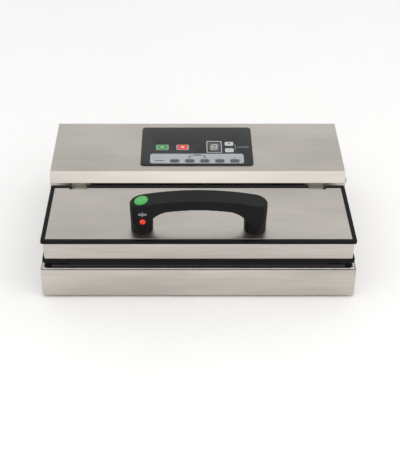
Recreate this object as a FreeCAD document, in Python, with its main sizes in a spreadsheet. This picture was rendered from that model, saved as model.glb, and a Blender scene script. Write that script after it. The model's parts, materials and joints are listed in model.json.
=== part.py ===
"""Countertop vacuum sealer: stainless base and rear housing, hinged lid with an arched handle, sloping
control panel, and the pump, valve, transformer and fan inside.

Frame: X to the right, Y to the back, Z up, in millimetres. The origin is on the surface that the feet
stand on, under the middle of the base. Every size that drives the shape is a cell of the sheet "sizes".
"""
import FreeCAD, Part
import math
import os
import re

import Sketcher
from FreeCAD import Placement, Rotation, Vector

doc = FreeCAD.newDocument("vacuum_sealer")
sheet = doc.addObject("Spreadsheet::Sheet", "sizes")

SIZES = {
    # Overall sheet-metal case
    "width": 430, "depth": 300, "foot_high": 4, "wall": 1.5, "base_top": 48.6, "corner": 2.5,
    "flange": 12, "plate_thick": 1.2, "tray_thick": 1.2, "gap": 0.5,
    # Rear housing: bottom and top edge of the slanted lip, rear edge, front wall
    "front_wall": 4, "lip_low_y": 2, "lip_low_z": 91.6, "lip_top_y": 14, "lip_top_z": 105,
    "rear_top_z": 110,
    # Chamber under the lid
    "tray_back": 3.3, "rim_wide": 2.6, "rim_hem": 10, "rim_step": 1.9, "rivet_radius": 1, "deck_thick": 2.6,
    "trough_long": 392, "trough_front": -96, "trough_back": -34, "trough_deep": 14,
    "gasket_wide": 6, "gasket_gap": 4, "gasket_top": 54.4,
    "bar_long": 400, "bar_front": -145, "bar_back": -137, "bar_top": 51.6,
    "strip_wide": 3, "strip_thick": 0.2, "tape_thick": 0.2,
    # Lid: stainless plate in a black trim, stainless skirt, black lower frame, inner liner
    "lid_top": 94, "lid_front": -150.3, "lid_back": -7.2, "lid_wide": 424, "trim_wide": 6.6,
    "trim_tall": 4.2, "trim_corner": 3.5, "trim_round": 0.8, "plate_drop": 0.2, "ledge": 3,
    "back_trim": 7.4,
    "skirt_in": 1.6, "skirt_wide": 417, "skirt_low": 64.3, "skirt_thick": 1.2,
    "frame_wide": 423, "frame_low": 58.3, "frame_back": -8.7, "drop_low": 54.6, "drop_half": 176,
    "drop_thick": 4, "window_half": 200, "window_front": -136.5, "window_back": -30,
    "liner_thick": 2.4, "dome_top": 76, "dome_half": 186, "dome_front": -98, "dome_back": -36,
    "pad_low": 55.5, "pad_front": -144, "pad_back": -138,
    # Hinges
    "pivot_y": -19.2, "pivot_z": 80, "hinge_x": 172, "arm_wide": 21.4, "arm_half_thick": 2.5,
    "knuckle": 4.5, "pin_radius": 2, "pin_play": 0.06, "notch_wide": 26, "notch_front": -18.6,
    "ear_thick": 2, "ear_front": -27, "ear_back": -12.6, "leaf_thick": 2, "leaf_low": 70,
    "leaf_top": 90.6,
    # Handle
    "post_x": 76.5, "post_y": -117.5, "post_top_radius": 16, "post_low_radius": 15,
    "handle_top": 145.6, "arch_radius": 419, "arch_under": 132.4, "bore_radius": 10.5,
    "bore_top": 131, "switch_seat": 114, "switch_top": 128, "handle_round": 1.2,
    # Handle button and lamp
    "button_wide": 18.8, "button_long": 21, "button_tall": 7, "button_proud": 0.8,
    "button_play": 0.35, "button_x": -77, "lamp_radius": 4, "lamp_z": 114.4, "lamp_proud": 0.7,
    # Control panel and its keys, in the panel's own plane: from the middle of the lip's top edge
    "panel_left": -84, "panel_right": 82.5, "panel_front": 15, "panel_back": 121,
    "panel_thick": 1.5, "panel_corner": 6, "window_rim": 7, "key_play": 0.25, "key_proud": 0.6,
    "key_travel": 0.5, "key_deep": 3, "board_drop": 8.2, "board_thick": 1.6,
    "main_key_wide": 19, "main_key_long": 15.2, "main_key_y": 62.6, "start_x": -52.5, "stop_x": -22,
    "time_key_wide": 13, "time_key_long": 10.6, "time_key_x": 48, "plus_y": 72.5, "minus_y": 54.3,
    "mode_key_wide": 14.5, "mode_key_long": 10.4, "mode_key_y": 24.3, "mode_first_x": -33.7,
    "mode_pitch": 22.2, "strip_left": -70, "strip_right": 68.6, "strip_front": 18,
    "strip_back": 44.3, "strip_film": 0.3, "strip_corner": 4,
    "bezel_left": 14, "bezel_right": 36.8, "bezel_front": 47.9, "bezel_back": 80.1,
    "bezel_rim": 1.2, "bezel_proud": 0.4, "digit_sunk": 0.4, "power_lamp_x": -56, "power_lamp_y": 33.3,
    "power_lamp_radius": 1.6,
    # Pump, valve, transformer, fan
    "motor_radius": 30, "motor_half": 48, "motor_x": -40, "motor_y": 78, "motor_z": 48,
    "head_wide": 42, "head_low": 20, "head_top": 88, "head_half_deep": 26, "cradle_low": 6.7,
    "fan_x": 118, "fan_z": 72, "fan_half": 30, "fan_front": 133.5, "fan_back": 148.5,
    "fan_bore": 28, "hub_radius": 11, "blade_tip": 26.5, "blade_thick": 1.4, "blade_count": 7,
    "valve_x": 62, "valve_y": 60, "port_x": 150, "port_y": -60, "port_radius": 4, "intake_radius": 1.6,
    "hose_radius": 5.5, "hose_z": 15, "core_x": -165, "core_y": 84,
    # Rear sockets
    "inlet_x": -150, "inlet_z": 30, "inlet_wide": 27, "inlet_tall": 20, "flange_out": 2,
    "rocker_x": -105, "rocker_z": 30, "rocker_wide": 13, "rocker_tall": 19, "rocker_tilt": 8,
    "rocker_axis_in": 4.6,
    # Side port and its soft plug
    "side_port_y": 18, "side_port_z": 87, "side_port_radius": 4, "side_bore": 2, "side_port_out": 1.2,
    "plug_radius": 4.6, "plug_out": 4,
    # Fasteners and feet
    "screw_radius": 1.5, "screw_hole": 1.75, "head_radius": 2.9, "foot_radius": 9, "foot_inset": 26,
}
for row, (alias, value) in enumerate(SIZES.items(), start=1):
    sheet.set(f"A{row}", alias)
    sheet.set(f"B{row}", str(value))
    sheet.setAlias(f"B{row}", alias)
doc.recompute()

WORD = re.compile(r"[A-Za-z_]+")
PANEL_SLOPE = math.degrees(math.atan2(
    SIZES["rear_top_z"] - SIZES["lip_top_z"], SIZES["depth"] / 2 - SIZES["lip_top_y"]))
parts = {}


def bound(text):
    """The expression with each alias written as a cell of the sheet."""
    return WORD.sub(lambda m: f"sizes.{m.group()}" if m.group() in SIZES else m.group(), str(text))


def at(piece, x="0", y="0", z="0"):
    """Moves a piece to a place given by three expressions."""
    for axis, text in zip("xyz", (x, y, z)):
        piece.setExpression(f"Placement.Base.{axis}", bound(text))
    return piece


def both(half):
    """The span from minus half to plus half."""
    return f"-({half})", half


def box(name, x, y, z):
    """A block between a low and a high limit on each axis, each limit an expression."""
    block = doc.addObject("Part::Box", name)
    for side, (low, high) in zip(("Length", "Width", "Height"), (x, y, z)):
        block.setExpression(side, bound(f"({high}) - ({low})"))
    return at(block, x[0], y[0], z[0])


TURNS = {"x": Rotation(Vector(0, 1, 0), 90), "y": Rotation(Vector(1, 0, 0), -90), "z": Rotation()}


def rod(name, radius, x, y, z, axis="z", top_radius=None):
    """A round bar along one axis, or a cone if it has a top radius. The span is on that axis."""
    spans = {"x": x, "y": y, "z": z}
    low, high = spans[axis]
    kind, first = ("Part::Cone", "Radius1") if top_radius else ("Part::Cylinder", "Radius")
    bar = doc.addObject(kind, name)
    bar.Placement = Placement(Vector(), TURNS[axis])
    bar.setExpression(first, bound(radius))
    if top_radius:
        bar.setExpression("Radius2", bound(top_radius))
    bar.setExpression("Height", bound(f"({high}) - ({low})"))
    spans[axis] = low
    return at(bar, spans["x"], spans["y"], spans["z"])


def union(name, *pieces):
    joined = doc.addObject("Part::MultiFuse", name)
    joined.Shapes = list(pieces)
    return joined


def group(name, *pieces):
    """Several separate solids kept as one node."""
    kept = doc.addObject("Part::Compound", name)
    kept.Links = list(pieces)
    return kept


def cut(name, base, *tools):
    result = doc.addObject("Part::Cut", name)
    result.Base = base
    result.Tool = tools[0] if len(tools) == 1 else union(f"{name}_tools", *tools)
    return result


def common(name, first, second):
    result = doc.addObject("Part::Common", name)
    result.Base = first
    result.Tool = second
    return result


def rounded(name, base, radius, chosen):
    """The base with its chosen edges rounded to a radius in the sheet."""
    doc.recompute()
    result = doc.addObject("Part::Fillet", name)
    result.Base = base
    size = SIZES[radius]
    result.Edges = [(n, size, size) for n, edge in enumerate(base.Shape.Edges, 1) if chosen(edge)]
    return result


def upright(edge):
    """True for a straight edge along Z."""
    a, b = edge.firstVertex().Point, edge.lastVertex().Point
    return abs(a.x - b.x) + abs(a.y - b.y) < 1e-6 < abs(a.z - b.z)


def keep(label, piece):
    """Makes a finished piece a node of that name."""
    piece.Label = label
    parts[label] = piece
    return piece


def sketch_on(body, plane, corners, offset="0"):
    """A closed outline on one of the body's planes, through corners that are pairs of expressions."""
    origin = next(f for f in body.Origin.OriginFeatures if f.Role == plane)
    sketch = body.newObject("Sketcher::SketchObject", f"{body.Name}_outline")
    sketch.AttachmentSupport = [(origin, "")]
    sketch.MapMode = "FlatFace"
    sketch.setExpression("AttachmentOffset.Base.z", bound(offset))
    points = [Vector(*(float(sheet.evalExpression(bound(text))) for text in pair), 0) for pair in corners]
    count = len(points)
    for n, point in enumerate(points):
        sketch.addGeometry(Part.LineSegment(point, points[(n + 1) % count]), False)
    for n in range(count):
        sketch.addConstraint(Sketcher.Constraint("Coincident", n, 2, (n + 1) % count, 1))
    for n, pair in enumerate(corners):
        for kind, text, value in zip(("DistanceX", "DistanceY"), pair, points[n]):
            number = sketch.addConstraint(Sketcher.Constraint(kind, -1, 1, n, 1, value))
            sketch.setExpression(f"Constraints[{number}]", bound(text))
    return sketch


def prism(name, plane, corners, length, midplane=True, offset="0"):
    """A PartDesign body: one outline padded by a length."""
    body = doc.addObject("PartDesign::Body", name)
    sketch = sketch_on(body, plane, corners, offset)
    doc.recompute()
    pad = body.newObject("PartDesign::Pad", f"{name}_pad")
    pad.Profile = sketch
    pad.setExpression("Length", bound(length))
    pad.Midplane = midplane
    sketch.Visibility = False
    return body


def soften(body, radius, chosen, kind="PartDesign::Fillet"):
    """Rounds or bevels the chosen edges of a body's last feature."""
    doc.recompute()
    last = body.Tip
    edges = [f"Edge{n}" for n, edge in enumerate(last.Shape.Edges, 1) if chosen(edge)]
    feature = body.newObject(kind, f"{body.Name}_{radius}")
    feature.Base = (last, edges)
    feature.setExpression("Radius" if kind.endswith("Fillet") else "Size", bound(radius))
    return body


def slab(name, x, y, z, radius=None):
    """A plate between limits, as a PartDesign body, with its upright corners rounded."""
    corners = [(x[0], y[0]), (x[1], y[0]), (x[1], y[1]), (x[0], y[1])]
    body = prism(name, "XY_Plane", corners, f"({z[1]}) - ({z[0]})", midplane=False, offset=z[0])
    return soften(body, radius, upright) if radius else body


# ---------------------------------------------------------------- base case and what it stands on
def base_case():
    """Four walls with a narrow flange round the bottom, and the plate that closes it from below. Round
    the chamber the walls stop a step lower, so the rim of the deck stands proud of them."""
    inner = both("width / 2 - wall")
    block = slab("base_block", both("width / 2"), both("depth / 2"), ("foot_high", "base_top"), "corner")
    hollow = box("base_hollow", inner, both("depth / 2 - wall"),
                 ("foot_high + plate_thick + wall", "base_top + 1"))
    recess = box("base_recess", inner, both("depth / 2 - wall"),
                 ("foot_high - 1", "foot_high + plate_thick"))
    opening = box("base_opening", both("width / 2 - wall - flange"), both("depth / 2 - wall - flange"),
                  ("foot_high", "base_top"))
    step = box("wall_step", both("width / 2 + 1"), ("-depth / 2 - 1", "front_wall"),
               ("base_top - rim_step", "base_top + 1"))
    screws, holes = [], []
    for n, (x, y) in enumerate((a, b) for a in ("-205", "-70", "70", "205") for b in ("-140", "140")):
        head = rod(f"bottom_head_{n}", "head_radius", x, y, ("foot_high - 1.8", "foot_high"))
        shank = rod(f"bottom_shank_{n}", "screw_radius", x, y, ("foot_high - 0.5", "foot_high + 6"))
        screws.append(union(f"bottom_screw_{n}", head, shank))
        holes.append(rod(f"bottom_hole_{n}", "screw_hole", x, y, ("foot_high - 1", "foot_high + 8")))
    inlet_hole = box("inlet_hole", ("inlet_x - inlet_wide / 2", "inlet_x + inlet_wide / 2"),
                     ("depth / 2 - 5", "depth / 2 + 5"),
                     ("inlet_z - inlet_tall / 2", "inlet_z + inlet_tall / 2"))
    rocker_hole = box("rocker_hole", ("rocker_x - rocker_wide / 2", "rocker_x + rocker_wide / 2"),
                      ("depth / 2 - 5", "depth / 2 + 5"),
                      ("rocker_z - rocker_tall / 2", "rocker_z + rocker_tall / 2"))
    for n, x in enumerate(("-205", "0", "205")):
        screws.append(rod(f"rear_head_{n}", "head_radius", x, ("depth / 2", "depth / 2 + 1.8"),
                          "base_top + 6", axis="y"))
    drill = union("base_drill", *holes)
    keep("base_shell", cut("base_shell_cut", block, hollow, recess, opening, step, drill, inlet_hole,
                           rocker_hole))
    plate = box("bottom_sheet", both("width / 2 - wall - gap"), both("depth / 2 - wall - gap"),
                ("foot_high", "foot_high + plate_thick"))
    slots = [box(f"vent_{n}", (f"{x}", f"{x} + 4"), ("40", "100"), ("foot_high - 1", "foot_high + 3"))
             for n, x in enumerate(range(90, 150, 12))]
    keep("bottom_plate", cut("bottom_plate_cut", plate, drill, *slots))
    keep("case_screws", group("case_screws_all", *screws))
    feet = []
    for n, (a, b) in enumerate(((-1, -1), (1, -1), (1, 1), (-1, 1))):
        foot = rod(f"foot_{n}", "foot_radius - 1.2", f"{a} * (width / 2 - foot_inset)",
                   f"{b} * (depth / 2 - foot_inset)", ("0", "foot_high"), top_radius="foot_radius")
        dimple = rod(f"foot_dimple_{n}", "3.2", f"{a} * (width / 2 - foot_inset)",
                     f"{b} * (depth / 2 - foot_inset)", ("-1", "2"))
        feet.append(cut(f"foot_cut_{n}", foot, dimple))
    keep("rubber_feet", group("rubber_feet_all", *feet))


def chamber():
    """Steel rim round the top, the black deck with the vacuum trough, the foam rings and the hot bar."""
    edge = "width / 2 - wall - gap"
    front, back = "-depth / 2 + wall + gap", "tray_back"
    under = "base_top - tray_thick"
    rim = box("rim_block", both(edge), (front, back), ("base_top - rim_hem", "base_top"))
    rim_in = box("rim_hollow", both(f"{edge} - tray_thick"),
                 (f"{front} + tray_thick", f"{back} - tray_thick"), ("base_top - rim_hem - 1", under))
    rim_hole = box("rim_opening", both(f"{edge} - rim_wide"), (f"{front} + rim_wide", f"{back} - rim_wide"),
                   (f"{under} - 1", "base_top + 1"))
    deck_top = box("deck_top", both(f"{edge} - rim_wide"), (f"{front} + rim_wide", f"{back} - rim_wide"),
                   ("base_top - deck_thick", "base_top"))
    deck_edge = box("deck_edge", both(f"{edge} - tray_thick"),
                    (f"{front} + tray_thick", f"{back} - tray_thick"), ("base_top - deck_thick", under))
    bowl = slab("trough_bowl", both("trough_long / 2"), ("trough_front", "trough_back"),
                ("base_top - trough_deep - tray_thick", "base_top - 1"), "panel_corner")
    pit = slab("trough_pit", both("trough_long / 2 - tray_thick"),
               ("trough_front + tray_thick", "trough_back - tray_thick"),
               ("base_top - trough_deep", "base_top + 1"), "panel_corner")
    port = rod("trough_hole", "intake_radius", "port_x", "port_y", ("20", "base_top"))
    rivets, rivet_holes = [], []
    for n, side in enumerate((-1, 1)):
        place = (f"{side} * (width / 2 - 9)", f"{front} + rim_wide / 2")
        rivets.append(rod(f"rivet_{n}", "rivet_radius", *place, ("base_top - 4", "base_top + 1")))
        rivet_holes.append(rod(f"rivet_hole_{n}", "rivet_radius", *place, ("base_top - 6", "base_top + 2")))
    holes = union("rivet_holes", *rivet_holes)
    keep("deck_rim", cut("deck_rim_cut", rim, rim_in, rim_hole, holes))
    keep("chamber_deck", cut("chamber_deck_cut", union("deck_joined", deck_top, deck_edge, bowl), pit, port,
                             holes))
    keep("rim_rivets", group("rim_rivets_all", *rivets))

    def ring(name, low, high):
        """A foam loop round the trough between two heights."""
        out = "trough_long / 2 + gasket_gap + gasket_wide"
        ring_out = slab(f"{name}_outer", both(out), ("trough_front - gasket_gap - gasket_wide",
                        "trough_back + gasket_gap + gasket_wide"), (low, high), "post_top_radius")
        ring_in = slab(f"{name}_inner", both(f"{out} - gasket_wide"),
                       ("trough_front - gasket_gap", "trough_back + gasket_gap"),
                       (f"{low} - 1", f"{high} + 1"), "bore_radius")
        return keep(name, cut(f"{name}_cut", ring_out, ring_in))

    ring("lower_gasket", "base_top", "gasket_top")
    ring("upper_gasket", "gasket_top + 0.2", "frame_low")
    keep("seal_bar", box("seal_bar_block", both("bar_long / 2"), ("bar_front", "bar_back"),
                         ("base_top", "bar_top")))
    keep("heating_strip", box("heating_wire", both("bar_long / 2 - 4"),
                              ("(bar_front + bar_back - strip_wide) / 2",
                               "(bar_front + bar_back + strip_wide) / 2"),
                              ("bar_top", "bar_top + strip_thick")))
    keep("release_tape", box("release_sheet", both("bar_long / 2 - 2"), ("bar_front", "bar_back"),
                             ("bar_top + strip_thick", "bar_top + strip_thick + tape_thick")))


# ---------------------------------------------------------------- lid
def lid():
    """Plate, trim, skirt, lower frame and liner, each cut away at the back where the hinges rise."""
    top, front, back = "lid_top", "lid_front", "lid_back"
    notches = union("lid_notches", *[
        box(f"lid_notch_{n}", (f"{side} * hinge_x - notch_wide / 2", f"{side} * hinge_x + notch_wide / 2"),
            ("notch_front", "0"), ("pivot_z - 8", "lid_top + 5")) for n, side in enumerate((-1, 1))])
    plate_x = both("lid_wide / 2 - trim_wide + 0.9")
    plate_y = (f"{front} + trim_wide", f"{back} - back_trim")
    screw_holes = [rod(f"plate_hole_{n}", "screw_hole", f"{s} * post_x", "post_y",
                       ("lid_top - 4", "lid_top + 1")) for n, s in enumerate((-1, 1))]
    wire_hole = rod("wire_hole", "2.5", "-post_x", "post_y + 7", ("lid_top - 4", "lid_top + 1"))
    plate = box("lid_sheet", plate_x, plate_y, ("lid_top - plate_drop - plate_thick",
                                                "lid_top - plate_drop"))
    keep("lid_plate", cut("lid_plate_cut", plate, notches, wire_hole, *screw_holes))

    ring_out = slab("trim_block", both("lid_wide / 2"), (front, back),
                    ("lid_top - trim_tall", top), "trim_corner")
    soften(ring_out, "trim_round", lambda e: e.BoundBox.ZMin > SIZES["lid_top"] - 0.01)
    seat = box("trim_seat", plate_x, plate_y, ("lid_top - plate_drop - plate_thick", "lid_top + 1"))
    opening = box("trim_opening", both("lid_wide / 2 - trim_wide + 0.9 - ledge"),
                  (f"{front} + trim_wide + ledge", f"{back} - back_trim - ledge"),
                  ("lid_top - 10", "lid_top + 1"))
    keep("lid_trim", cut("lid_trim_cut", ring_out, seat, opening, notches))

    skirt_y = (f"{front} + skirt_in", f"{back} - 2.8")
    skirt_z = ("skirt_low", "lid_top - trim_tall")
    skirt = slab("skirt_block", both("skirt_wide / 2"), skirt_y, skirt_z, "wall")
    skirt_in = box("skirt_hollow", both("skirt_wide / 2 - skirt_thick"),
                   (f"{skirt_y[0]} + skirt_thick", f"{skirt_y[1]} - skirt_thick"),
                   ("skirt_low - 1", "lid_top"))
    keep("lid_skirt", cut("lid_skirt_cut", skirt, skirt_in, notches))

    frame = slab("frame_block", both("frame_wide / 2"), (f"{front} + 0.4", "frame_back"),
                 ("frame_low", "skirt_low"), "trim_corner")
    drop = box("frame_drop", both("drop_half"), (f"{front} + 0.4", f"{front} + 0.4 + drop_thick"),
               ("drop_low", "frame_low"))
    window = box("frame_window", both("window_half"), ("window_front", "window_back"),
                 ("drop_low", "skirt_low + 1"))
    keep("lid_lower_frame", cut("frame_cut", union("frame_joined", frame, drop), window))

    liner = box("liner_sheet", both("window_half - 0.3"), ("window_front + 0.3", "window_back - 0.3"),
                ("frame_low", "frame_low + liner_thick"))
    dome = slab("liner_dome", both("dome_half"), ("dome_front", "dome_back"),
                ("frame_low", "dome_top"), "panel_corner")
    hollow = slab("liner_hollow", both("dome_half - liner_thick"),
                  ("dome_front + liner_thick", "dome_back - liner_thick"),
                  ("frame_low - 1", "dome_top - liner_thick"), "panel_corner")
    keep("lid_liner", cut("lid_liner_cut", union("liner_joined", liner, dome), hollow))
    keep("seal_pad", box("seal_pad_strip", both("bar_long / 2"), ("pad_front", "pad_back"),
                         ("pad_low", "frame_low")))


def hinges():
    """Two fixed arms that reach under the lip into the lid, and the ears and pins that turn on them."""
    ears, pins = [], []
    for name, side in (("left", -1), ("right", 1)):
        middle = f"{side} * hinge_x"
        arm_x = (f"{middle} - arm_wide / 2", f"{middle} + arm_wide / 2")
        arm = box(f"arm_{name}", arm_x, ("pivot_y", "front_wall - leaf_thick / 2"),
                  ("pivot_z - arm_half_thick", "pivot_z + arm_half_thick"))
        leaf = box(f"leaf_{name}", arm_x, ("front_wall - leaf_thick", "front_wall"),
                   ("leaf_low", "leaf_top"))
        knuckle = rod(f"knuckle_{name}", "knuckle", arm_x, "pivot_y", "pivot_z", axis="x")
        bore = rod(f"knuckle_bore_{name}", "pin_radius + pin_play", (f"{arm_x[0]} - 1", f"{arm_x[1]} + 1"),
                   "pivot_y", "pivot_z", axis="x")
        keep(f"hinge_arm_{name}", cut(f"hinge_arm_cut_{name}", union(f"arm_joined_{name}", arm, leaf,
                                                                     knuckle), bore))
        reach = "notch_wide / 2 + ear_thick + 0.4"
        pins.append(rod(f"pin_{name}", "pin_radius", (f"{middle} - {reach} - 1", f"{middle} + {reach} + 1"),
                        "pivot_y", "pivot_z", axis="x"))
        block = box(f"ear_block_{name}", (f"{middle} - ({reach})", f"{middle} + {reach}"),
                    ("ear_front - ear_thick", "ear_back"),
                    ("pivot_z - 6", "lid_top - plate_drop - plate_thick"))
        inside = box(f"ear_inside_{name}", (f"{middle} - notch_wide / 2 - 0.4",
                     f"{middle} + notch_wide / 2 + 0.4"), ("ear_front", "ear_back + 1"),
                     ("pivot_z - 7", "lid_top"))
        holes = rod(f"ear_bore_{name}", "pin_radius", (f"{middle} - 30", f"{middle} + 30"), "pivot_y",
                    "pivot_z", axis="x")
        ledge = box(f"ear_ledge_{name}", (f"{middle} - 30", f"{middle} + 30"),
                    ("lid_back - back_trim - ledge - 0.2", "0"), ("lid_top - trim_tall - 0.2", "lid_top"))
        ears.append(cut(f"ear_{name}", block, inside, holes, ledge))
    keep("hinge_ears", group("hinge_ears_all", *ears))
    keep("hinge_pins", group("hinge_pins_all", *pins))


def handle():
    """Arched handle: a flat-topped bow whose front and back run down two round posts as tongues."""
    px, tip = SIZES["post_x"], SIZES["lid_top"] + 1.5
    top, under = SIZES["handle_top"], SIZES["arch_under"]
    end = px + SIZES["post_top_radius"]
    end_z = top - end ** 2 / (2 * SIZES["arch_radius"])
    shoulder, knee = Vector(43.6, 0, under - 3.2), Vector(61.8, 0, under - 14)
    foot_in, foot_out = Vector(px - 2.5, 0, tip), Vector(px + 2.5, 0, tip)

    def flip(v):
        return Vector(-v.x, 0, v.z)

    right = [
        Part.Arc(shoulder, knee, foot_in).toShape(),
        Part.Arc(foot_in, Vector(px, 0, tip - 1.2), foot_out).toShape(),
        Part.Arc(foot_out, Vector(end - 2.2, 0, under - 18), Vector(end + 1, 0, end_z - 6)).toShape(),
        Part.LineSegment(Vector(end + 1, 0, end_z - 6), Vector(end + 1, 0, top + 5)).toShape(),
    ]
    left = [
        Part.Arc(flip(shoulder), flip(knee), flip(foot_in)).toShape(),
        Part.Arc(flip(foot_in), Vector(-px, 0, tip - 1.2), flip(foot_out)).toShape(),
        Part.Arc(flip(foot_out), Vector(-end + 2.2, 0, under - 18),
                 Vector(-end - 1, 0, end_z - 6)).toShape(),
        Part.LineSegment(Vector(-end - 1, 0, end_z - 6), Vector(-end - 1, 0, top + 5)).toShape(),
    ]
    bridge = Part.Arc(flip(shoulder), Vector(0, 0, under), shoulder).toShape()
    lintel = Part.LineSegment(Vector(-end - 1, 0, top + 5), Vector(end + 1, 0, top + 5)).toShape()
    outline = doc.addObject("Part::Feature", "handle_outline")
    outline.Shape = Part.Face(Part.Wire(Part.__sortEdges__([*right, *left, bridge, lintel])))
    bow = doc.addObject("Part::Extrusion", "handle_bow")
    bow.Base = outline
    bow.Dir = Vector(0, 1, 0)
    bow.setExpression("LengthFwd", bound("2 * post_top_radius"))
    bow.Solid = True
    at(bow, "0", "post_y - post_top_radius", "0")
    ends = [rod(f"bow_end_{n}", "post_top_radius", f"{s} * post_x", "post_y", ("lid_top", "handle_top + 5"))
            for n, s in enumerate((-1, 1))]
    middle = box("bow_middle", both("post_x"), ("post_y - post_top_radius", "post_y + post_top_radius"),
                 ("lid_top", "handle_top + 5"))
    plan = union("handle_plan", middle, *ends)
    posts = [rod(f"post_{n}", "post_low_radius", f"{s} * post_x", "post_y",
                 ("lid_top - plate_drop", "handle_top + 5"), top_radius="post_top_radius + 0.4")
             for n, s in enumerate((-1, 1))]
    crown = rod("handle_crown", "arch_radius", "0", ("post_y - 40", "post_y + 40"),
                "handle_top - arch_radius", axis="y")
    solid = common("handle_solid", union("handle_joined", common("handle_arch", bow, plan), *posts), crown)
    doc.recompute()

    def on_top(edge):
        """The outline of the crowned top face."""
        mid = edge.valueAt((edge.FirstParameter + edge.LastParameter) / 2)
        height = top - mid.x ** 2 / (2 * SIZES["arch_radius"])
        return abs(mid.z - height) < 0.15 and edge.Length > 5

    softened = rounded("handle_soft", solid, "handle_round", on_top)
    doc.recompute()
    bore = rod("post_bore", "bore_radius", "-post_x", "post_y", ("lid_top - 1", "bore_top"))
    screw_bore = rod("post_screw_bore", "screw_radius", "post_x", "post_y", ("lid_top - 1", "lid_top + 10"))
    lamp_hole = rod("lamp_hole", "lamp_radius", "-post_x + 1.5", ("post_y - 25", "post_y"), "lamp_z",
                    axis="y")
    button_hole = oval("button_hole", "button_wide + 2 * button_play", "button_long + 2 * button_play",
                       "24", "-12")
    boss = rod("post_boss", "3.6", "-post_x", "post_y", ("lid_top - plate_drop", "lid_top + 12"))
    rib = box("post_rib", ("-post_x - bore_radius - 1", "-post_x + bore_radius + 1"),
              ("post_y - 1.2", "post_y + 1.2"), ("lid_top - plate_drop", "switch_seat"))
    boss_bore = rod("boss_bore", "screw_radius", "-post_x", "post_y", ("lid_top - 1", "lid_top + 10"))
    hollowed = cut("handle_hollow", softened, bore, screw_bore, lamp_hole, button_hole)
    keep("handle", cut("handle_final", union("handle_boss", hollowed, boss, rib), boss_bore))
    screws = []
    for n, side in enumerate((-1, 1)):
        x = f"{side} * post_x"
        seat = "lid_top - plate_drop - plate_thick"
        head = rod(f"handle_head_{n}", "head_radius", x, "post_y", (f"{seat} - 2", seat))
        shank = rod(f"handle_shank_{n}", "screw_radius", x, "post_y", (f"{seat} - 1", "lid_top + 10"))
        screws.append(union(f"handle_screw_{n}", head, shank))
    keep("handle_screws", group("handle_screws_all", *screws))
    lens = rod("lamp_lens", "lamp_radius", "-post_x + 1.5",
               ("post_y - post_top_radius - lamp_proud", "post_y - bore_radius + 1"), "lamp_z", axis="y")
    keep("seal_lamp", rounded("lamp_domed", lens, "lamp_proud",
                              lambda e: e.BoundBox.YMax < SIZES["post_y"] - SIZES["post_top_radius"]))
    keep("seal_button", oval("button_cap", "button_wide", "button_long", "button_tall",
                             "button_proud - button_tall"))
    case = box("switch_case", ("-post_x - 6", "-post_x + 6"), ("post_y - 3.2", "post_y + 3.2"),
               ("switch_seat", "switch_top"))
    plunger = rod("switch_plunger", "1.5", "button_x", "post_y", ("switch_top", "switch_top + 1.8"))
    keep("handle_switch", union("handle_switch_joined", case, plunger))


def button_frame():
    """Where the handle's crowned top passes under the middle of the button, and its tilt in degrees."""
    x, radius = SIZES["button_x"], SIZES["arch_radius"]
    tilt = math.degrees(math.asin(x / radius))
    height = SIZES["handle_top"] - radius + math.sqrt(radius ** 2 - x ** 2)
    return Vector(x, SIZES["post_y"], height), tilt


def oval(name, wide, long, tall, low):
    """An upright oval plug, set square to the handle's top at the button."""
    place, tilt = button_frame()
    curve = doc.addObject("Part::Ellipse", f"{name}_curve")
    curve.setExpression("MajorRadius", bound(f"({long}) / 2"))
    curve.setExpression("MinorRadius", bound(f"({wide}) / 2"))
    plug = doc.addObject("Part::Extrusion", name)
    plug.Base = curve
    plug.Dir = Vector(0, 0, 1)
    plug.setExpression("LengthFwd", bound(tall))
    plug.Solid = True
    lift = float(sheet.evalExpression(bound(low)))
    turn = Rotation(Vector(0, 1, 0), tilt) * Rotation(Vector(0, 0, 1), 90)
    plug.Placement = Placement(place, turn).multiply(Placement(Vector(0, 0, lift), Rotation()))
    return plug


# ---------------------------------------------------------------- rear housing and control panel
def on_panel(name, *pieces):
    """Lays pieces drawn from the origin onto the housing's sloping top."""
    laid = group(name, *pieces)
    laid.Placement = Placement(Vector(), Rotation(Vector(1, 0, 0), PANEL_SLOPE))
    return at(laid, "0", "lip_top_y", "lip_top_z")


def housing():
    """Folded stainless cover: front wall under a slanted lip, sloping top, sides and back."""
    profile = [("front_wall", "base_top"), ("front_wall", "lip_low_z"), ("lip_low_y", "lip_low_z"),
               ("lip_top_y", "lip_top_z"), ("depth / 2", "rear_top_z"), ("depth / 2", "base_top")]
    outer = prism("cover_block", "YZ_Plane", profile, "width")

    def outer_bend(edge):
        """The two long bends at the lip and the one at the back."""
        box_ = edge.BoundBox
        return box_.XLength > 400 and box_.ZMin > SIZES["lip_top_z"] - 1

    soften(outer, "wall", outer_bend)
    inner_profile = [("front_wall + wall", "base_top - 1"), ("front_wall + wall", "lip_low_z + 1.3"),
                     ("lip_top_y + 0.7", "lip_top_z - wall"), ("depth / 2 - wall", "rear_top_z - wall"),
                     ("depth / 2 - wall", "base_top - 1")]
    inner = prism("cover_hollow", "YZ_Plane", inner_profile, "width - 2 * wall")
    window = on_panel("window_laid", box(
        "panel_window", ("panel_left + window_rim", "panel_right - window_rim"),
        ("panel_front + window_rim / 2", "panel_back - window_rim"), ("-10", "10")))
    slots = [box(f"fan_slot_{n}", ("fan_x - 24", "fan_x + 24"), ("depth / 2 - 5", "depth / 2 + 5"),
                 (f"{z} - 1.5", f"{z} + 1.5")) for n, z in enumerate(range(54, 94, 6))]
    side_hole = rod("side_hole", "side_port_radius", ("width / 2 - 5", "width / 2 + 5"), "side_port_y",
                    "side_port_z", axis="x")
    keep("housing_cover", cut("housing_cover_cut", outer, inner, window, side_hole, *slots))


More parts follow.
